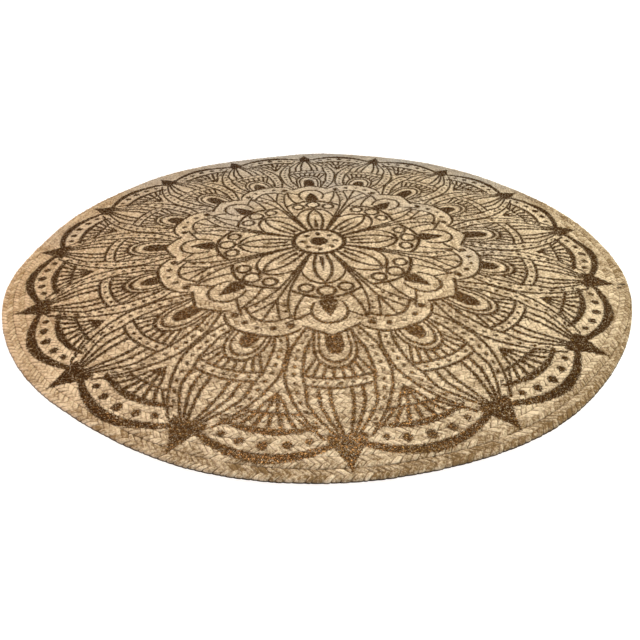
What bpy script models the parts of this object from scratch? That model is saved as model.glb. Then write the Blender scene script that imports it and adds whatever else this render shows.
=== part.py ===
"""Round rug of one jute plait, coiled flat from the middle outwards.

The whole rug is one closed solid. Its upper face has a raised rib for each turn of the
coil, with a seam groove between turns; its underside is flat and rests on the floor.
Metres, +Z up. The origin is the middle of the coil, on the floor.
"""

import math

import bpy

# ---- driving dimensions ----
RUG_RADIUS = 0.600        # middle of the coil to the rim, on average
THICKNESS = 0.0095        # floor to the crown of a turn
SEAM_DEPTH = 0.0026       # how far the groove between two turns lies below the crowns
TURNS = 34                # turns of the plait, so one turn is about 18 mm wide
STEPS = 56                # straight steps in one turn
TAIL_DIRECTION = 345.0    # degrees from +X, where the outer end of the plait is sewn down
TAIL_TAPER = 0.11         # share of the last turn over which that end narrows to nothing

RIB_EDGES = (0.26, 0.74)  # where a turn's flat crown starts and ends, across its width
RIM_HEIGHT = 0.0044       # height at which the rim is widest
SHOULDER_INSET = 0.0016   # the rim's upper edge lies this far inside its widest line
FOOT_INSET = 0.0024       # and the lower edge, on the floor, this far

JUTE_COLOUR = (0.50, 0.36, 0.21, 1.0)
JUTE_ROUGHNESS = 0.92

# How far the rim lies outside (+) or inside (-) a true circle. The hand-sewn coil isn't
# quite round. Directions are in degrees from +X, evenly spaced, seen from above.
RIM_SHAPE = [
    # direction_deg, out_mm
    (0, 6.6), (15, 6.6), (30, 1.5), (45, 5.5), (60, 8.5), (75, 2.5),
    (90, 11.5), (105, -4.5), (120, 2.0), (135, 10.0), (150, 1.0), (165, 0.5),
    (180, -3.8), (195, 4.3), (210, -2.0), (225, -9.3), (240, -16.0), (255, -10.5),
    (270, -9.0), (285, -7.5), (300, -1.5), (315, -3.0), (330, 0.5), (345, 7.2),
]


def rim_radius(direction):
    """Radius of the rim's widest line, a smooth curve through the rows of RIM_SHAPE."""
    spacing = 360.0 / len(RIM_SHAPE)
    place = (math.degrees(direction) / spacing) % len(RIM_SHAPE)
    row = int(place)
    t = place - row
    before, here, after, beyond = (
        RIM_SHAPE[(row + step) % len(RIM_SHAPE)][1] for step in (-1, 0, 1, 2))
    slope_here = (after - before) / 2
    slope_after = (beyond - here) / 2
    rise = 3 * (after - here) - 2 * slope_here - slope_after
    turn_back = slope_here + slope_after - 2 * (after - here)
    out_mm = here + t * (slope_here + t * (rise + t * turn_back))
    return RUG_RADIUS + out_mm / 1000


def smooth_step(value):
    """Rise from 0 to 1 with level ends."""
    value = min(max(value, 0.0), 1.0)
    return value * value * (3 - 2 * value)


def turns_to_rim(part_turn):
    """Turns from the middle to the rim, a given part of a turn after the tail."""
    narrowing = smooth_step((part_turn - (1 - TAIL_TAPER)) / TAIL_TAPER)
    return TURNS - 0.5 + part_turn * (1 - narrowing)


def around(step):
    """Direction of a step along the coil, in radians."""
    return math.radians(TAIL_DIRECTION) + 2 * math.pi * step / STEPS


def seam_radius(step):
    """Radius of the seam line that winds outwards, half a turn's width at its start."""
    shoulder = rim_radius(around(step)) - SHOULDER_INSET
    to_rim = turns_to_rim((step % STEPS) / STEPS)
    return shoulder * min(step / STEPS + 0.5, to_rim) / to_rim


def point(radius, direction, height):
    return (radius * math.cos(direction), radius * math.sin(direction), height)


def coil_points():
    """The seam line's points, the crown's two edge lines, then the rim's two lower rings."""
    seam_height = THICKNESS - SEAM_DEPTH
    rib_steps = (TURNS - 1) * STEPS
    full_width = RUG_RADIUS / TURNS

    points = [point(seam_radius(step), around(step), seam_height)
              for step in range(TURNS * STEPS)]
    for across in RIB_EDGES:
        for step in range(rib_steps):
            inner = seam_radius(step)
            width = seam_radius(step + STEPS) - inner
            height = seam_height + SEAM_DEPTH * min(1.0, width / full_width)
            points.append(point(inner + across * width, around(step), height))
    for inset, height in ((0.0, RIM_HEIGHT), (FOOT_INSET, 0.0)):
        for step in range(STEPS):
            direction = around(step)
            points.append(point(rim_radius(direction) - inset, direction, height))
    points.append((0.0, 0.0, THICKNESS))
    return points


def across_rib(step):
    """Point numbers across a rib at one step: inner seam, crown's edges, outer seam."""
    first_crown = TURNS * STEPS + step
    crown = [first_crown + edge * (TURNS - 1) * STEPS for edge in range(len(RIB_EDGES))]
    return [step] + crown + [step + STEPS]


def coil_faces():
    """Faces of the ribs, the middle, the rim and the flat underside, all facing out."""
    rib_steps = (TURNS - 1) * STEPS
    rim_start = TURNS * STEPS + len(RIB_EDGES) * rib_steps
    foot_start = rim_start + STEPS
    middle = foot_start + STEPS
    tail = rib_steps                   # the seam point where the tail ends and the rim starts

    faces = []
    # the ribs, strip by strip, and the tail's last step, which ends in a point
    for step in range(rib_steps - 1):
        here, after = across_rib(step), across_rib(step + 1)
        for side in range(len(here) - 1):
            faces.append((here[side], here[side + 1], after[side + 1], after[side]))
    here = across_rib(rib_steps - 1)
    for side in range(len(here) - 1):
        faces.append((here[side], here[side + 1], tail))

    # the middle, inside the first turn, with the plait's inner end along one side
    for step in range(STEPS - 1):
        faces.append((middle, step, step + 1))
    inner_end = across_rib(0)[::-1] + [middle]
    for near, far in zip(inner_end, inner_end[1:]):
        faces.append((STEPS - 1, near, far))

    # the rim, from the shoulder down to the foot
    for step in range(STEPS):
        after = (step + 1) % STEPS
        faces.append((tail + step, rim_start + step, rim_start + after, tail + after))
        faces.append((rim_start + step, foot_start + step, foot_start + after, rim_start + after))

    # the underside
    faces.append(tuple(foot_start + step for step in reversed(range(STEPS))))
    return faces


def jute_material():
    material = bpy.data.materials.new("jute")
    material.use_nodes = True
    shader = material.node_tree.nodes["Principled BSDF"]
    shader.inputs["Base Color"].default_value = JUTE_COLOUR
    shader.inputs["Roughness"].default_value = JUTE_ROUGHNESS
    shader.inputs["Metallic"].default_value = 0.0
    return material


def make_rug():
    mesh = bpy.data.meshes.new("rug")
    mesh.from_pydata(coil_points(), [], coil_faces())
    mesh.validate()
    mesh.shade_smooth()
    mesh.set_sharp_from_angle(angle=math.radians(25))
    mesh.materials.append(jute_material())
    rug = bpy.data.objects.new("rug", mesh)
    bpy.context.scene.collection.objects.link(rug)
    return rug


for old in list(bpy.data.objects):
    bpy.data.objects.remove(old)

make_rug()
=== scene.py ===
"""The looks of a round jute rug: one flat plait coiled from the middle outwards, printed with
a ringed flower ornament in dark bronze ink. Metres, +Z up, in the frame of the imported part.
"""

import functools
import math
import operator

import bpy
import numpy as np
from mathutils import Matrix, Vector


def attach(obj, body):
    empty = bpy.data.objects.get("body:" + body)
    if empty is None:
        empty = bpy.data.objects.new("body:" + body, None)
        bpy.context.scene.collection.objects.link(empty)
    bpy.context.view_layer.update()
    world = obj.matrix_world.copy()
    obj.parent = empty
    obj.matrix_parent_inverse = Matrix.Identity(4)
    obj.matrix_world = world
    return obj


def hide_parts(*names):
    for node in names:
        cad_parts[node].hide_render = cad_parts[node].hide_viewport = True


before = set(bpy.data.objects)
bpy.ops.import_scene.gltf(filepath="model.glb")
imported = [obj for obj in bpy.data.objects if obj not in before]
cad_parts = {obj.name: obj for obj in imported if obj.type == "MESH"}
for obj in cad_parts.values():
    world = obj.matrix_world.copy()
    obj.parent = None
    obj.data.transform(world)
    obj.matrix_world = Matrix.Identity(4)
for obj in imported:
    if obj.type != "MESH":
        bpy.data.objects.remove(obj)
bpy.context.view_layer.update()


# ---------------------------------------------------------------------------------------
# The rug. Three strands of loosely spun jute are plaited flat, coiled from the middle
# outwards and sewn edge to edge with a thread that doesn't show. The outer end is tapered
# and sewn down at the right of the rim. The upper face is printed in dark bronze ink.
# ---------------------------------------------------------------------------------------
TURNS = 34
FIRST_TURN = -1.42           # the plait starts here, tucked in at the middle,
LAST_TURN = TURNS - 1.012    # and stops here, just before the taper comes to a point
TAIL_DIRECTION = math.radians(345)
TAIL_TAPER = 0.11            # share of the last turn over which the outer end narrows
SOLID_RIM_HEIGHT = 0.0044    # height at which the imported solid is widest
RIM_INSET = 0.0010           # the last turn's edge lies this far inside the solid's
OUTERMOST = TURNS - 2.02     # from here on no turn lies outside this one

FULL_WIDTH = 0.0176          # of the plait, from seam to seam
CROWN_HEIGHT = 0.0091        # top of the strands, above the floor
SEAM_HEIGHT = 0.0067         # two turns touch each other at this height
RIM_HEIGHT = 0.0045          # and the rim is widest at this one
LOWEST, HIGHEST = 0.0001, 0.0098
NEAREST = 0.0004             # no point lies nearer to the middle of the coil
STITCH = 0.0104              # from one crossing of the strands to the next, along one edge
ROWS = 6                     # rows of faces in a stitch
CHEVRON = 0.0082             # a strand gains this much way between the edge and the middle
STRAND_RELIEF = 0.0016       # depth of the creases between crossings
MIDDLE_CREASE = 0.75         # the crease along the middle, as a share of that depth
LAST_TURN_WAY = 3.74         # length of the last turn, once round the rim
END_GAP = 0.003              # the end rows lie this far inside the ends of the plait
STRETCHES = 6                # the plait is made in so many pieces, end to end

# in half widths of the plait
PRESSED = 1.045              # turns are pressed into each other, because each is this wide
EDGE_BULGE = 0.055           # the arches bulge by this much at the edges, and some of them
BULGE_UNEVEN = 0.018         # by this much more or less
CREASE_REACH = 0.28          # the crease along the middle is this wide to each side,
CREASE_SWAY = 0.13           # swings this far past the arches' ends
CREASE_UNEVEN = 0.05         # and wanders by this much more

# how uneven the hand work is: stitches by a share of their length, the arches by a share of
# their height, the rest in metres
STITCH_UNEVEN = 0.19
ARCH_UNEVEN = 0.17
ROW_UNEVEN = 0.0018
HEIGHT_UNEVEN = 0.00025
TURN_UNEVEN = 0.0006
LOOSE_GAP = 0.0020           # the widest gap between the last turn and the one inside it

# where the faces' corners lie around the plait: across it from edge to edge, -1 to 1,
# over the upper face and back under the lower one
upper = np.array([-1, -0.82, -0.56, -0.28, 0, 0.28, 0.56, 0.82, 1])
lower = np.array([0.6, 0, -0.6])
across = np.concatenate([upper, lower])
side = np.array([0] + [1] * 7 + [0] + [-1] * 3)        # 1 above, -1 below, 0 at an edge
AROUND = len(across)

solid_corners = np.empty(len(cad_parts["rug"].data.vertices) * 3)
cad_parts["rug"].data.vertices.foreach_get("co", solid_corners)
solid_corners = solid_corners.reshape(-1, 3)
widest = solid_corners[np.abs(solid_corners[:, 2] - SOLID_RIM_HEIGHT) < 1e-4]
rim_directions = np.arctan2(widest[:, 1], widest[:, 0])
rim_radii = np.hypot(widest[:, 0], widest[:, 1])


def seam(turn):
    """Radius of the seam that winds outwards. The rim's radius in that direction is shared
    out evenly over the turns, and over the tail the share grows until no width is left."""
    part = turn % 1
    narrowing = np.clip((part - 1 + TAIL_TAPER) / TAIL_TAPER, 0, 1)
    to_rim = TURNS - 0.5 + part * (1 - narrowing ** 2 * (3 - 2 * narrowing))
    direction = TAIL_DIRECTION + 2 * math.pi * turn
    rim = np.interp(direction, rim_directions, rim_radii, period=2 * math.pi) - RIM_INSET
    return rim * np.clip(turn + 0.5, 0, to_rim) / to_rim


# way along the plait's middle line, as a table of turns and widths against metres
turn_table = np.linspace(FIRST_TURN, LAST_TURN, 160_000)
width_table = seam(turn_table + 1) - seam(turn_table)
middle_radius = (seam(turn_table) + seam(turn_table + 1)) / 2
steps = np.hypot(np.diff(turn_table) * math.pi * (middle_radius[1:] + middle_radius[:-1]),
                 np.diff(middle_radius))
way_table = np.concatenate([[0], np.cumsum(steps)])

# rows of corners across the plait, so many to a stitch, and the way at which each lies
row_total = int((way_table[-1] - 2 * END_GAP) / STITCH * ROWS) // STRETCHES * STRETCHES
stitch_total = row_total // ROWS + 3
row = np.arange(row_total + 1)
chance = np.random.default_rng(17)
stitch_lengths = 1 + chance.uniform(-STITCH_UNEVEN, STITCH_UNEVEN, stitch_total)
stitch_starts = np.concatenate([[0], np.cumsum(stitch_lengths)]) / stitch_lengths.mean()
row_way = END_GAP + STITCH * np.interp(row / ROWS, np.arange(stitch_total + 1), stitch_starts)
row_way *= min(1, (way_table[-1] - END_GAP) / row_way[-1])

row_turn = np.interp(row_way, way_table, turn_table)
slimness = np.clip(np.interp(row_way, way_table, width_table) / FULL_WIDTH, 0, 1)[:, None]
outermost = np.clip((row_turn - OUTERMOST) / 0.06, 0, 1)[:, None]


def waves(way, lengths, seed):
    """A slow, even wander between about -1 and 1: sine waves of a few lengths, added up, and
    stretched because they seldom meet."""
    phases = np.random.default_rng(seed).uniform(0, 2 * math.pi, len(lengths))
    return sum(np.sin(2 * math.pi * way / length + phase)
               for length, phase in zip(lengths, phases)) / len(lengths) * 1.6


def arches():
    """How far each point stands up on its arch, 0 at a crossing to 1, and how full that arch
    is. Each half of the plait has arches one stitch long, those of the left half come half a
    stitch later, and the halves run into each other over the middle. No two are as full."""
    uneven = np.clip(chance.normal(0, 1, (2, stitch_total)), -1.6, 1.6)
    on_right = np.clip(0.5 + across * 3, 0, 1)
    arch = fullness = 0
    for half, share in enumerate([on_right, 1 - on_right]):
        part = (row / ROWS + half / 2) % 1
        arch = arch + (np.sin(math.pi * part ** 1.12) ** 0.62)[:, None] * share
        stitch = (row + half * ROWS // 2) // ROWS
        fullness = fullness + uneven[half][stitch][:, None] * share
    return arch, fullness


def seen_from_above(arch, fullness):
    """Radius and angle of every point. A row is V-shaped, because it follows a strand: above,
    its middle runs ahead of its edges, and below it lags. Slow waves move the two ends of a
    row, each by itself. The arches bulge at the edges, and the crease between the halves
    sways from side to side past the arches' ends."""
    to_middle = 1 - np.abs(across)
    way = row_way[:, None] + CHEVRON * slimness * to_middle * side
    right_wander = waves(row_way, [0.021, 0.034, 0.055], 3)[:, None]
    left_wander = waves(row_way, [0.019, 0.031, 0.059], 4)[:, None]
    way = way + ROW_UNEVEN * right_wander * np.clip(across, 0, 1)
    way = way + ROW_UNEVEN * left_wander * np.clip(-across, 0, 1)

    sway = CREASE_SWAY * np.cos(2 * math.pi * (row / ROWS % 1))[:, None] * to_middle ** 2
    wander = waves(row_way, [0.023, 0.037, 0.061], 5)[:, None]
    sway = sway + CREASE_UNEVEN * wander * to_middle
    bulge = 1 + (EDGE_BULGE * (arch - 0.45) + BULGE_UNEVEN * fullness) * (to_middle < 0.3)
    half_widths_out = across * bulge * PRESSED + sway * np.where(side < 0, -1, 1)

    turn = np.interp(way, way_table, turn_table)
    inner, outer = seam(turn), seam(turn + 1)
    radius = (inner + outer) / 2 + (outer - inner) / 2 * half_widths_out
    return radius, TAIL_DIRECTION + 2 * math.pi * turn


def sewn(radius, angle):
    """The radius after sewing. Three waves around the rug leave its turns a little uneven,
    but not at the middle, and not at the rim, which the solid gives. Here and there the last
    turn stands a little off the one inside it, mostly near its two ends."""
    inside = np.clip((0.59 - radius) / 0.05, 0, 1) * np.clip(radius / 0.06, 0, 1)
    radius = radius + TURN_UNEVEN * inside * sum(
        np.sin(round_it * angle + outwards * radius)
        for round_it, outwards in [(5, 31), (11, -47), (23, 83)])

    from_end = way_table[-1] - row_way
    by_the_ends = np.clip((1.5 - from_end) / 0.3, 0, 1) + np.clip((from_end - 2.9) / 0.3, 0, 1)
    loose = np.clip(waves(row_way, [0.047, 0.083, 0.31], 9) - 0.1 + 0.7 * by_the_ends, 0, 1)
    inner_edge = np.clip(-across, 0, 1) * (across > -0.9) * (side > 0)
    return np.maximum(radius + LOOSE_GAP * outermost * loose[:, None] * inner_edge, NEAREST)


def heights(arch, fullness):
    """Height of every point above the floor, and how high it stands on its strand, 0 to 1.
    Across the plait the section is a rounded oval, flatter above the seams than below them.
    The creases at the crossings and along the middle are cut out of it, and the tapered end
    is thinner."""
    profile = np.clip(1 - np.abs(across) ** 3, 0, 1) ** (1 / 3)
    middle_crease = MIDDLE_CREASE * np.clip(1 - np.abs(across) / CREASE_REACH, 0, 1)
    hollow = STRAND_RELIEF * (1 - arch * (1 + ARCH_UNEVEN * fullness) + middle_crease * arch)
    edge = SEAM_HEIGHT - (SEAM_HEIGHT - RIM_HEIGHT) * outermost * np.clip(across, 0, 1) ** 2
    tall = CROWN_HEIGHT + HEIGHT_UNEVEN * waves(row_way, [0.09, 0.17, 0.41], 6)[:, None]
    bulk = np.where(side > 0, tall - edge, edge) * profile - hollow * profile ** 0.7
    bulk = np.maximum(bulk, 0) * slimness ** np.where(side > 0, 0.5, 0.2)
    crown = np.clip(arch * (1 - middle_crease) * np.clip(profile * 1.35, 0, 1), 0, 1)
    return np.clip(edge + bulk * side, LOWEST, HIGHEST), crown


arch, fullness = arches()
radius, angle = seen_from_above(arch, fullness)
radius = sewn(radius, angle)
height, crown = heights(arch, fullness)
points = np.stack([radius * np.cos(angle), radius * np.sin(angle), height], -1)


def stretch_faces(first, last):
    """Corner numbers of the faces between two rows: squares between neighbouring rows and
    places, then a fan over each open end, around one point in the middle of that end."""
    i = np.repeat(np.arange(last - first), AROUND)
    j = np.tile(np.arange(AROUND), last - first)
    after = (j + 1) % AROUND
    squares = np.stack([i * AROUND + j, i * AROUND + after,
                        (i + 1) * AROUND + after, (i + 1) * AROUND + j], -1)
    corner = np.arange(AROUND)
    start_middle = (last - first + 1) * AROUND
    end_row = (last - first) * AROUND
    start_fan = np.stack([(corner + 1) % AROUND, corner, np.full(AROUND, start_middle)], -1)
    end_fan = np.stack([end_row + corner, end_row + (corner + 1) % AROUND,
                        np.full(AROUND, start_middle + 1)], -1)
    return squares, np.concatenate([start_fan, end_fan])


BANDS = 22                   # the texture map shows a stretch in so many bands,
BAND_GAP = 0.04              # with this share of a band free above and below
SIDE_GAP = 0.004             # and this share of the map at each side,
MARGIN = 0.025               # and its ends in a margin of this share above them
DISC_RADIUS = 0.009
DISC_MIDDLES = np.array([[0.02, 0.987], [0.05, 0.987]])
HALF_ROUND = 0.012           # metres over the strand from the middle to an edge
down_the_band = np.concatenate([np.linspace(0, 0.8, 9), np.linspace(0.8, 1, 5)[1:]])
round_the_plait = np.concatenate([across, across[:1]])


def stretch_maps(first, last):
    """Texture coordinates of every face corner, for two maps. The first lays the plait out
    in bands, upper face then lower face, with the ends' fans as small discs in a margin.
    The second gives metres along the plait and over it, as the fibres run."""
    i = np.repeat(np.arange(last - first), AROUND)
    j = np.tile(np.arange(AROUND), last - first)
    per_band = -(-(last - first) // BANDS)
    band = i // per_band
    at = i - band * per_band
    u = np.stack([at, at, at + 1, at + 1], -1) / per_band
    v = 1 - down_the_band[np.stack([j, j + 1, j + 1, j], -1)]
    up = (band[:, None] + BAND_GAP + (1 - 2 * BAND_GAP) * v) / BANDS * (1 - MARGIN)
    bands = np.stack([SIDE_GAP + (1 - 2 * SIDE_GAP) * u, up], -1)

    turn = 2 * math.pi * np.arange(AROUND) / AROUND
    ring = np.stack([np.cos(turn), np.sin(turn)], -1) * DISC_RADIUS
    discs = [np.stack([middle + ring, middle + np.roll(ring, -1, 0), middle + 0 * ring], 1)
             for middle in DISC_MIDDLES]
    laid_out = np.concatenate([part.reshape(-1, 2) for part in [bands, *discs]])

    way = row_way[first + np.stack([i, i, i + 1, i + 1], -1)]
    over = (round_the_plait * HALF_ROUND)[np.stack([j, j + 1, j + 1, j], -1)]
    fibre = np.stack([way, over], -1).reshape(-1, 2)
    ends = np.stack([np.full(AROUND * 6, row_way[first]), np.linspace(0, 0.02, AROUND * 6)], -1)
    return laid_out, np.concatenate([fibre, ends])


def strand_shades():
    """A shade for every stitch of the left half and the right one, around 0 and lower where
    it is darker. To chance are added slow waves along the plait, one set for each half, and
    soiled stitches near the two ends of the last turn."""
    shades = chance.normal(0, 1, (2, stitch_total))
    way = np.interp(np.arange(stitch_total) * ROWS, row, row_way)
    from_end = way_table[-1] - way
    last_turn = np.clip((LAST_TURN_WAY - from_end) / 0.05, 0, 1)
    by_the_ends = (np.clip((1.0 - from_end) / 0.3, 0, 1)
                   + np.clip((from_end - 2.9) / 0.3, 0, 1) * last_turn)
    soiled = by_the_ends * np.clip(0.45 + 0.8 * waves(way, [0.11, 0.19, 0.043], 12), 0, 1)
    for half in range(2):
        shades[half] += 1.1 * waves(way, [0.23, 0.71, 1.9, 3.1], 11 + half) - 1.7 * soiled
    return shades


strand_shade = strand_shades()


def crease_edges(mesh, first, last):
    """Whether each edge of a stretch is a crease: those along a row where two crossings of
    the same half meet, and those around the two ends."""
    ties = np.empty(len(mesh.edges) * 2, int)
    mesh.edges.foreach_get("vertices", ties)
    ties = np.sort(ties.reshape(-1, 2), 1)
    on_plait = ties[:, 1] < (last - first + 1) * AROUND
    row_of, place_of = ties // AROUND + first, ties % AROUND
    along_row = row_of[:, 0] == row_of[:, 1]
    middle = (across[place_of[:, 0]] + across[place_of[:, 1]]) / 2
    crossing = np.where(middle > 0, row_of[:, 0] % ROWS == 0,
                        (middle < 0) & (row_of[:, 0] % ROWS == ROWS // 2))
    return on_plait & along_row & (crossing | np.isin(row_of[:, 0], [first, last]))


def plait_stretch(number):
    """One stretch of the plait as a closed mesh, and its length. Points carry how high they
    stand on their strand, and faces the shade of their stitch."""
    first = row_total // STRETCHES * number
    last = row_total // STRETCHES * (number + 1)
    own = points[first:last + 1]
    ends = np.stack([own[0].mean(0), own[-1].mean(0)])
    squares, fans = stretch_faces(first, last)

    mesh = bpy.data.meshes.new(f"plait_{number + 1}")
    mesh.vertices.add(own.shape[0] * AROUND + len(ends))
    mesh.vertices.foreach_set("co", np.concatenate([own.reshape(-1, 3), ends]).ravel())
    mesh.loops.add(squares.size + fans.size)
    mesh.loops.foreach_set("vertex_index", np.concatenate([squares.ravel(), fans.ravel()]))
    mesh.polygons.add(len(squares) + len(fans))
    mesh.polygons.foreach_set("loop_start", np.concatenate(
        [np.arange(len(squares)) * 4, squares.size + np.arange(len(fans)) * 3]))
    mesh.update(calc_edges=True)
    mesh.shade_smooth()
    sharp = mesh.attributes.new("sharp_edge", "BOOLEAN", "EDGE")
    sharp.data.foreach_set("value", crease_edges(mesh, first, last))

    standing = mesh.attributes.new("crown", "FLOAT", "POINT")
    standing.data.foreach_set("value", np.concatenate([crown[first:last + 1].ravel(), [0, 0]]))
    face_row = np.repeat(np.arange(first, last), AROUND)
    on_right = np.tile((round_the_plait[1:] + round_the_plait[:-1]) > 0, last - first)
    stitch = np.where(on_right, face_row // ROWS, (face_row + ROWS // 2) // ROWS)
    shade = strand_shade[on_right.astype(int), stitch]
    tint = mesh.attributes.new("shade", "FLOAT", "FACE")
    tint.data.foreach_set("value", np.concatenate([shade, np.zeros(len(fans))]))

    for name, laid in zip(["OFBake", "Fibre"], stretch_maps(first, last)):
        mesh.uv_layers.new(name=name).data.foreach_set("uv", laid.ravel())
    mesh.uv_layers["OFBake"].active = True
    mesh.uv_layers["OFBake"].active_render = True
    return mesh, float(row_way[last] - row_way[first])


class Mark:
    """One output of a shader node. Sums with numbers and other outputs add Math nodes."""

    tree = None    # the node tree that is being filled

    def __init__(self, output):
        self.output = output

    @classmethod
    def node(cls, kind, settings=None, inputs=None, output=0):
        """Adds a node, sets it up, then gives its inputs their values or links."""
        added = cls.tree.nodes.new(kind)
        for name, value in (settings or {}).items():
            setattr(added, name, value)
        for name, value in (inputs or {}).items():
            if isinstance(value, Mark):
                cls.tree.links.new(value.output, added.inputs[name])
            else:
                added.inputs[name].default_value = value
        return cls(added.outputs[output])

    @classmethod
    def math(cls, operation, *values, clamp=False):
        """Adds a Math node for one to three values."""
        return cls.node("ShaderNodeMath", {"operation": operation, "use_clamp": clamp},
                        dict(enumerate(values)))

    def __add__(self, other):
        return Mark.math("ADD", self, other)

    def __radd__(self, other):
        return Mark.math("ADD", other, self)

    def __sub__(self, other):
        return Mark.math("SUBTRACT", self, other)

    def __rsub__(self, other):
        return Mark.math("SUBTRACT", other, self)

    def __mul__(self, other):
        return Mark.math("MULTIPLY", self, other)

    def __rmul__(self, other):
        return Mark.math("MULTIPLY", other, self)

    def __truediv__(self, other):
        return Mark.math("DIVIDE", self, other)

    def __rtruediv__(self, other):
        return Mark.math("DIVIDE", other, self)

    def __pow__(self, other):
        return Mark.math("POWER", self, other)

    def __abs__(self):
        return Mark.math("ABSOLUTE", self)

    def __and__(self, other):
        """The smaller of two."""
        return Mark.math("MINIMUM", self, other)

    def __or__(self, other):
        """The larger of two."""
        return Mark.math("MAXIMUM", self, other)

    def clamped(self):
        """Kept from 0 to 1."""
        return Mark.math("ADD", self, 0.0, clamp=True)


jute = bpy.data.materials.new("jute_plait")
jute.use_nodes = True
Mark.tree = jute.node_tree
shader = jute.node_tree.nodes["Principled BSDF"]

here = Mark.node("ShaderNodeTexCoord", output="Object")
x, y, z = (Mark.node("ShaderNodeSeparateXYZ", inputs={0: here}, output=axis) for axis in "XYZ")
from_middle = (x * x + y * y) ** 0.5

# The print: rings of petals, shields and scallops, a common pattern for such rugs, drawn
# with a few round formulas. It lies a little to the right and to the back of the coil's
# middle. Radii, widths and heights are in print radii. Directions are in degrees from the
# middle of a motif, to either side. A shape is a depth, how far a point lies inside its ink,
# and negative outside it. "|" joins two shapes and "&" keeps what both cover.
PRINT_RADIUS = 0.583         # middle to the tips of the outer spikes
FIRST_SPIKE = 4.10           # degrees from +X
PRINT_RIGHT = 0.0056         # at its middle, and less towards its rim
PRINT_BACK = 0.0036

print_x = x - PRINT_RIGHT * (1 - 2.46 * (x * x + y * y))
print_y = y - PRINT_BACK
print_away = (print_x * print_x + print_y * print_y) ** 0.5 / PRINT_RADIUS
r = print_away * (0.98 + 0.02 * print_away)
degree = r * (math.pi / 180)           # how long a degree is at that radius
bearing = Mark.math("ARCTAN2", print_y, print_x) * (180 / math.pi) - FIRST_SPIKE


def from_nearest(value, spacing):
    """How far a value lies from the nearest whole multiple of a spacing, with its sign."""
    return (Mark.math("FLOORED_MODULO", value / spacing + 0.5, 1.0) - 0.5) * spacing


def within(value, low, high):
    """Positive between two limits of a value."""
    return (value - low) & (high - value)


def line(off, half_width):
    """A line, from how far a point lies off its middle."""
    return half_width - abs(off)


def oval(off, at, radius, half_width, half_height):
    """A filled oval with its middle at a direction and a radius."""
    sideways = (off - at) * degree / half_width
    outwards = (r - radius) / half_height
    return (1 - (sideways * sideways + outwards * outwards) ** 0.5) * min(half_width, half_height)


def slant(off, foot):
    """Slant of the ray that starts at the motif's middle line, at a radius, and meets a
    point: degrees to a print radius."""
    return off / (r - foot | 0.01)


def strokes(off, foot, first, spacing, half_width):
    """Straight strokes that spread from one foot, at evenly spaced slants."""
    return line(from_nearest(slant(off, foot) - first, spacing) * (r - foot) * degree, half_width)


def joined(shapes):
    """The ink of several shapes together."""
    return functools.reduce(operator.or_, shapes)


def rim_ring(spike):
    """16 spikes, the far ones thinner. Between them lie scallops with five dots each, and
    under every scallop a bowed line, a fan of strokes on a short line, and a triangle that
    is hatched along its top."""
    gap = 11.25 - spike                # directions from the middle of a scallop
    taper = 1.55 * ((1.0 - r) / 0.052 | 0.0) ** 1.3
    spikes = ((taper & 2.7 - 2.0 * (print_y | 0.0)) - spike) * degree & within(r, 0.903, 0.999)
    scalloped = line(r - 0.970 + 0.028 * (gap / 7.6) ** 1.8, 0.0128 - 0.0005 * gap)
    bowed = line(r - 0.898 + 0.015 * (gap / 6.6) ** 2, 0.0098 - 0.0007 * gap)
    fan = strokes(gap, 0.79, 0, 21, 0.0052) & within(r, 0.845, 0.895)
    hatch = strokes(gap, 0.765, 11, 22, 0.0040) | 0.811 - r
    triangle = (3.6 * (r - 0.775) / 0.068 - gap) * 0.014 & 0.843 - r
    return joined([
        spikes,
        scalloped & (9.4 - gap) * 0.016,
        oval(gap, 0, 0.937, 0.0118, 0.0122),
        oval(gap, 3.25, 0.931, 0.0108, 0.0104),
        oval(gap, 6.05, 0.920, 0.0085, 0.0080),
        bowed & (7.4 - gap) * 0.016,
        fan & (66 - slant(gap, 0.79)) * 0.001,
        line(r - 0.8445, 0.0042) & (4.4 - gap) * 0.016,
        hatch & triangle])


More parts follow.
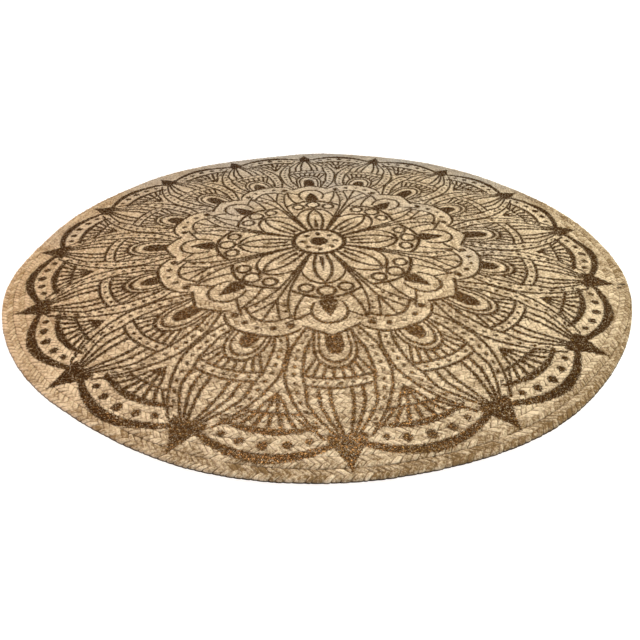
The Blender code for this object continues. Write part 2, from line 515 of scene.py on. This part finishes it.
def long_petals(spike):
    """16 long petals, one to each spike, with a double outline that has beads in it. Inside,
    from the foot to the tip: a seed under two bows, with a line at each side, fingers around
    them, a cross band of two lines with five dots, and rays."""
    edge = 10.95 - 7.45 * ((r - 0.70) / 0.209 | 0.0) ** 1.45 - 1.6 * ((0.62 - r) / 0.06 | 0.0) ** 1.3
    band = 3.55 - 1.4 * ((r - 0.755) / 0.055).clamped() - 0.9 * ((0.56 - r) / 0.04).clamped()
    off_band = (spike - edge + band * 0.5) * degree
    outline = line(abs(off_band) - band * 0.5 * degree, 0.0041)
    beads = 0.0048 - (off_band ** 2 + (from_nearest(r, 0.031) * 0.84) ** 2) ** 0.5
    inside = (edge - band - spike) * degree

    def bow(half_angle, foot, height):
        """How far out a point lies, as a share of a bow over the petal's middle line."""
        return ((spike / half_angle) ** 2 + ((r - foot | 0.0) / height) ** 2) ** 0.5

    outer_bow = bow(5.45, 0.595, 0.094) - 1
    level = r + 0.011 * (spike / 6.5) ** 2         # radius along the cross band's curve
    fingers = strokes(spike, 0.52, 5.2, 10.4, 0.0042) & outer_bow * 0.1 & 0.727 - level
    share = spike / (edge - band | 0.5)
    rays = line((abs(share - 0.475) - 0.16) * (edge - band) * degree, 0.0043)
    filling = joined([
        (1 - bow(2.45, 0.585, 0.05)) * 0.03,
        line((bow(4.1, 0.595, 0.072) - 1) * 0.055, 0.0040),
        line(outer_bow * 0.072, 0.0044),
        fingers & (42 - slant(spike, 0.52)) * 0.001,
        line((spike - 6.6) * degree, 0.0034) & 0.615 - r,
        line(abs(level - 0.7435) - 0.0160, 0.0038),
        oval(spike, 0, 0.7435, 0.0045, 0.0045),
        oval(spike, 2.5, 0.7418, 0.0045, 0.0045),
        oval(spike, 4.95, 0.737, 0.0045, 0.0045),
        rays & level - 0.760])
    return (outline | beads & 0.87 - r) & within(r, 0.50, 0.915) | filling & inside & 0.93 - r


def front_edge(shield, scallop):
    """Radius of the wavy line below which the petals' feet are covered, by 8 shields and by
    8 scallops between them."""
    return 0.556 - 0.0046 * shield | 0.577 - 0.063 * (scallop / 14) ** 3 & (14.2 - scallop) * 0.5


def shields(shield):
    """In each of 8 shields, from the top: a round bow over a dark seed, a line down each side
    and one across each corner, then a bowed line with three rings under it."""
    seed = 4.15 * (1 - ((r - 0.393) / 0.076 | 0.0) ** 1.2) - shield
    bow = ((shield / 7.0) ** 2 + ((r - 0.43) / 0.068) ** 2) ** 0.5
    flank = line((shield - 13.0 + 280 * (r - 0.435) ** 2) * degree, 0.0036)
    corner = line((r - 0.447 - 0.0076 * (shield - 6.8)) * 0.8, 0.0036)
    bowed = line(r - 0.371 + 0.034 * (shield / 19.5) ** 1.6, 0.0060)
    middle_ring = ((shield * degree) ** 2 + (r - 0.333) ** 2) ** 0.5
    side_ring = (((shield - 11.3) * degree) ** 2 + (r - 0.318) ** 2) ** 0.5
    return joined([
        seed * degree & within(r, 0.393, 0.466),
        oval(shield, 0, 0.394, 0.0285, 0.020),
        line((bow - 1) * 0.06, 0.0042) & r - 0.395,
        flank & within(r, 0.352, 0.485),
        corner & within(shield, 6.8, 14.8) * 0.01,
        bowed & (19.8 - shield) * 0.01,
        line(middle_ring - 0.0275, 0.0050),
        line(side_ring - 0.0225, 0.0050)])


def scallops(scallop):
    """In each of 8 scallops, from the top: five dots over a bowed line, then a pointed leaf
    with a middle line, two veins and three pairs of dots."""
    bowed = line(r - 0.513 + 0.027 * (scallop / 7) ** 2, 0.0045)
    leaf = 2.2 + 6.8 * ((r - 0.26) / 0.22 | 0.0) ** 2
    vein = 5.2 * ((r - 0.40) / 0.09)
    return joined([
        oval(scallop, 9.6, 0.517, 0.0115, 0.0125),
        oval(scallop, 4.7, 0.536, 0.0085, 0.009),
        oval(scallop, 0, 0.546, 0.0055, 0.0055),
        bowed & (9.3 - scallop) * 0.01,
        line((scallop - leaf) * degree, 0.0036) & within(r, 0.24, 0.483),
        line(scallop * degree, 0.0036) & within(r, 0.24, 0.508),
        line((scallop - vein) * degree, 0.0036) & within(r, 0.402, 0.495),
        oval(scallop, 6.1, 0.452, 0.0045, 0.005),
        oval(scallop, 4.5, 0.424, 0.004, 0.0045),
        oval(scallop, 3.3, 0.396, 0.0035, 0.004)])


def flower(shield, scallop):
    """In the middle, 8 petals round an eye: a ring, 8 dots and a dark spot. Each petal has a
    lens with a spike in it, and a short stem outside, and between each two lies a wedge."""
    lens = 10.2 * (1 - ((r - 0.14) / 0.139) ** 2 | 0.0) ** 0.9
    return joined([
        line(r - 0.289 + 0.066 * (shield / 19) ** 2, 0.0058),
        (3.3 - scallop) * degree & within(r, 0.085, 0.245),
        line((shield - lens) * degree, 0.0052) & within(r, 0.10, 0.282),
        (2.6 * (0.208 - r) / 0.07 - shield) * degree & within(r, 0.115, 0.21),
        line(shield * degree, 0.0060) & within(r, 0.286, 0.308),
        line(r - 0.093, 0.0080),
        oval(shield, 0, 0.060, 0.0085, 0.0105),
        0.032 - r])


spike = abs(from_nearest(bearing, 360 / 16))
shield = abs(from_nearest(bearing, 360 / 8))
scallop = 22.5 - shield
wavy = front_edge(shield, scallop)
depth = joined([rim_ring(spike), long_petals(spike) & r - wavy, line(r - wavy, 0.0050),
                shields(shield), scallops(scallop), flower(shield, scallop)])


def noise(scale, detail=2.0, roughness=0.5, position=here):
    """Smooth unevenness about 0.5, so many swells to a metre."""
    return Mark.node("ShaderNodeTexNoise", None, {"Vector": position, "Scale": scale,
                                                  "Detail": detail, "Roughness": roughness}, "Fac")


def blend(factor, first, second):
    """A colour between two others, by a factor from 0 to 1."""
    return Mark.node("ShaderNodeMix", {"data_type": "RGBA"}, {0: factor, 6: first, 7: second}, 2)


# The jute. Fibres run along each strand, and every crossing has its own shade. The straw is
# a little darker in the middle, on the last turn and in front, greyer in patches, with a
# painted grey sheen at the back and painted warm light at the left. Painted shade darkens
# the creases, the rim's lower edge where it meets the floor, and the two small openings
# where the tail is sewn down.
DARK_STRAW = (0.205, 0.128, 0.058, 1)
PALE_STRAW = (0.80, 0.650, 0.462, 1)
GREY_STRAW = (0.53, 0.495, 0.46, 1)
WARM_LIGHT_STRAW = (0.60, 0.375, 0.175, 1)
CREASE_SHADE_BROWN = (0.105, 0.062, 0.030, 1)
CONTACT_SHADE_GREY = (0.022, 0.019, 0.018, 1)
OPENING_SHADE_BROWN = (0.040, 0.026, 0.014, 1)
OPENINGS = [                 # x, y, half sizes
    (0.5656, -0.1798, 0.0085, 0.0044),
    (0.5550, -0.1912, 0.0060, 0.0034)]

FIBRES = (1150.0, 95.0, 1.0)     # streaks to a metre along the plait, and over its strands

fibre_map = Mark.node("ShaderNodeUVMap", {"uv_map": "Fibre"})
fibre_place = Mark.node("ShaderNodeVectorMath", {"operation": "MULTIPLY"},
                        {0: fibre_map, 1: FIBRES})
streaks = noise(1.0, 2.5, 0.6, fibre_place)
crown_part = Mark.node("ShaderNodeAttribute", {"attribute_name": "crown"}, output="Fac")
strand = Mark.node("ShaderNodeAttribute", {"attribute_name": "shade"}, output="Fac")
patches = noise(7.0, 4.0, 0.6)
blotches = noise(48.0)
mottle = noise(170.0, 3.0, 0.65)
speckle = noise(340.0, 2.0, 0.65)

# the straw is made a little darker on the last turn and towards the middle
darker_middle_and_last_turn = ((from_middle - 0.556) * 60).clamped() + ((0.42 - from_middle) * 4).clamped() * 0.4
front = ((0.36 - abs(x)) * 3.5 & (-0.02 - y) * 2.2).clamped()
tone = 0.72 - 0.26 * darker_middle_and_last_turn - 0.09 * front + 0.14 * strand
tone = tone + 0.7 * (patches - 0.5) + 0.35 * (blotches - 0.5) + 1.1 * (streaks - 0.5)
tone = (tone + 1.1 * (mottle - 0.5) + 1.5 * (speckle - 0.5)).clamped()
# grey in random patches, and towards the back a painted grey sheen of light grazing the far side
grey_patches_and_far_sheen = ((noise(4.3) - 0.56) * 3.0 + (y - 0.02) * 1.7).clamped()
# painted shade in the creases, darker where a point stands lower on its strand
crease_shade = (1 - crown_part * 1.9).clamped() * (0.70 + 2.4 * (noise(75.0, 1.0) - 0.5)).clamped()
# painted shade along the rim's lower edge, where it meets the floor
rim_contact_shade = (from_middle - 0.578) * 200 & (0.0066 - z) * 700 & (z - 0.0010) * 900
# painted shade in the two small openings where the tail is sewn down
opening_shade = joined([
    (1 - (((x - at_x) / half_x) ** 2 + ((y - at_y) / half_y) ** 2) ** 0.5) * 2.6
    for at_x, at_y, half_x, half_y in OPENINGS])

straw = blend(tone, DARK_STRAW, PALE_STRAW)
straw = blend(grey_patches_and_far_sheen * 0.70, straw, GREY_STRAW)
# painted warm light on the left side
straw = blend(((-0.12 - x) * 1.6).clamped() * 0.42, straw, WARM_LIGHT_STRAW)
straw = blend(crease_shade, straw, CREASE_SHADE_BROWN)
straw = blend(rim_contact_shade.clamped() * 0.92, straw, CONTACT_SHADE_GREY)
straw = blend(opening_shade.clamped() * 0.9, straw, OPENING_SHADE_BROWN)

# The ink. It lies on the crowns, is ragged at its edges, breaks up over the fibres and stops
# short of the creases. Small bronze flakes lie in a dark brown ground. In front the ink is
# thinner, and a painted bronze gleam lightens its ground and adds more, brighter flakes.
DARK_GROUND = (0.020, 0.0076, 0.0012, 1)
BROWN_GROUND = (0.060, 0.0235, 0.0038, 1)
FRONT_GLEAM_GROUND = (0.175, 0.088, 0.032, 1)
DULL_BRONZE = (0.38, 0.25, 0.10, 1)
BRIGHT_BRONZE = (0.60, 0.33, 0.135, 1)
INK_FADE = 0.0034            # from bare straw to full ink, in print radii
INK_HEIGHT = 0.0058          # no ink reaches below this height
SWELL = 0.0015               # how far the ink has run beyond its shapes, in print radii

ragged = (noise(380.0, 3.0, 0.7) - 0.5) * 0.020
fine = noise(560.0, 2.0, 0.6)
hold = 0.79 - 0.12 * front + 0.70 * (crown_part - 0.3) + 3.0 * (speckle - 0.5) + 4.2 * (fine - 0.5)
cover = ((depth + ragged + SWELL - 0.0003 * front) / INK_FADE + 0.5).clamped()
cover = cover * (hold * 2.6 - 0.5).clamped() * ((z - INK_HEIGHT) / 0.0008).clamped()
# in front, the extra flakes, their brighter bronze and the lighter ground are a painted gleam
flakes = ((fine * 0.5 + speckle * 0.5 - 0.585 + 0.055 * front) * 14.0).clamped()
ground = blend(front * 0.22, blend(streaks, DARK_GROUND, BROWN_GROUND), FRONT_GLEAM_GROUND)
bronze = blend(((noise(11.0) - 0.5) * 5 + 0.3 + front).clamped(), DULL_BRONZE, BRIGHT_BRONZE)
ink = blend(flakes, ground, bronze)

relief = (streaks * 0.00055 + speckle * 0.00035 + mottle * 0.0007) * (1 - 0.6 * cover)
bump = Mark.node("ShaderNodeBump", None, {"Strength": 1.0, "Distance": 1.0, "Height": relief})
for socket, value in [("Base Color", blend(cover, straw, ink)),
                      ("Roughness", 0.93 - cover * (0.13 + 0.38 * flakes)),
                      ("Metallic", cover * flakes * 0.80),
                      ("Normal", bump)]:
    jute.node_tree.links.new(value.output, shader.inputs[socket])
shader.inputs["Specular IOR Level"].default_value = 0.04

for number in range(STRETCHES):
    mesh, length = plait_stretch(number)
    mesh.materials.append(jute)
    stretch = bpy.data.objects.new(mesh.name, mesh)
    bpy.context.scene.collection.objects.link(stretch)
    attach(stretch, "root")
    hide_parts("rug")


# ---------------------------------------------------------------------------------------
# The studio: a wide pale floor that glows a little, so that it stays nearly white, one soft
# lamp over the back and one at each side, and a camera that looks down over the front edge.
# ---------------------------------------------------------------------------------------
FLOOR_REACH = 30
floor_corners = [(FLOOR_REACH * right, FLOOR_REACH * back, 0)
                 for right, back in [(-1, -1), (1, -1), (1, 1), (-1, 1)]]
floor_mesh = bpy.data.meshes.new("floor")
floor_mesh.from_pydata(floor_corners, [], [(0, 1, 2, 3)])
floor = bpy.data.objects.new("floor", floor_mesh)
bpy.context.scene.collection.objects.link(floor)
pale = bpy.data.materials.new("pale_floor")
pale.use_nodes = True
for socket, value in [("Base Color", (0.35, 0.35, 0.35, 1)), ("Roughness", 0.9),
                      ("Specular IOR Level", 0.1),
                      ("Emission Color", (1.0, 0.955, 0.915, 1)), ("Emission Strength", 0.93)]:
    pale.node_tree.nodes["Principled BSDF"].inputs[socket].default_value = value
floor_mesh.materials.append(pale)


def lamp(name, at, toward, size, spread, power, tint):
    """A square soft light that faces a point, and lights a cone of so many degrees."""
    light = bpy.data.lights.new(name, "AREA")
    light.size = size
    light.spread = math.radians(spread)
    light.energy = power
    light.color = tint
    lit = bpy.data.objects.new(name, light)
    lit.rotation_euler = (Vector(toward) - Vector(at)).to_track_quat("-Z", "Y").to_euler()
    lit.location = at
    bpy.context.scene.collection.objects.link(lit)


lamp("far_window", at=(0.0, 0.62, 1.45), toward=(0.0, -0.5, 0.0),
     size=0.42, spread=80, power=2.5, tint=(1.0, 0.86, 0.64))
lamp("left_fill", at=(-1.25, -0.4, 0.8), toward=(-0.3, -0.15, 0.0),
     size=1.3, spread=120, power=5.1, tint=(1.0, 0.55, 0.26))
lamp("right_fill", at=(1.3, -0.10, 0.95), toward=(0.33, 0.0, 0.0),
     size=1.5, spread=120, power=9.9, tint=(1.0, 0.92, 0.56))

world = bpy.data.worlds.new("studio")
world.use_nodes = True
world.node_tree.nodes["Background"].inputs["Color"].default_value = (0.68, 0.80, 0.96, 1)
world.node_tree.nodes["Background"].inputs["Strength"].default_value = 0.71
bpy.context.scene.world = world
bpy.context.scene.view_settings.view_transform = "Standard"

CAMERA_AT = Vector((0.00623, -0.90433, 0.47637))
CAMERA_TO = Vector((0.00623, -0.28233, 0.00900))
CAMERA_ROLL = -0.00971       # radians, about the way it looks
camera = bpy.data.objects.new("camera", bpy.data.cameras.new("camera"))
camera.data.lens = 26.13
camera.data.sensor_width = 36
camera.data.clip_end = 100
looking = (CAMERA_TO - CAMERA_AT).to_track_quat("-Z", "Y").to_matrix().to_4x4()
camera.matrix_world = (Matrix.Translation(CAMERA_AT) @ looking
                       @ Matrix.Rotation(CAMERA_ROLL, 4, "Z"))
bpy.context.scene.collection.objects.link(camera)
bpy.context.scene.camera = camera
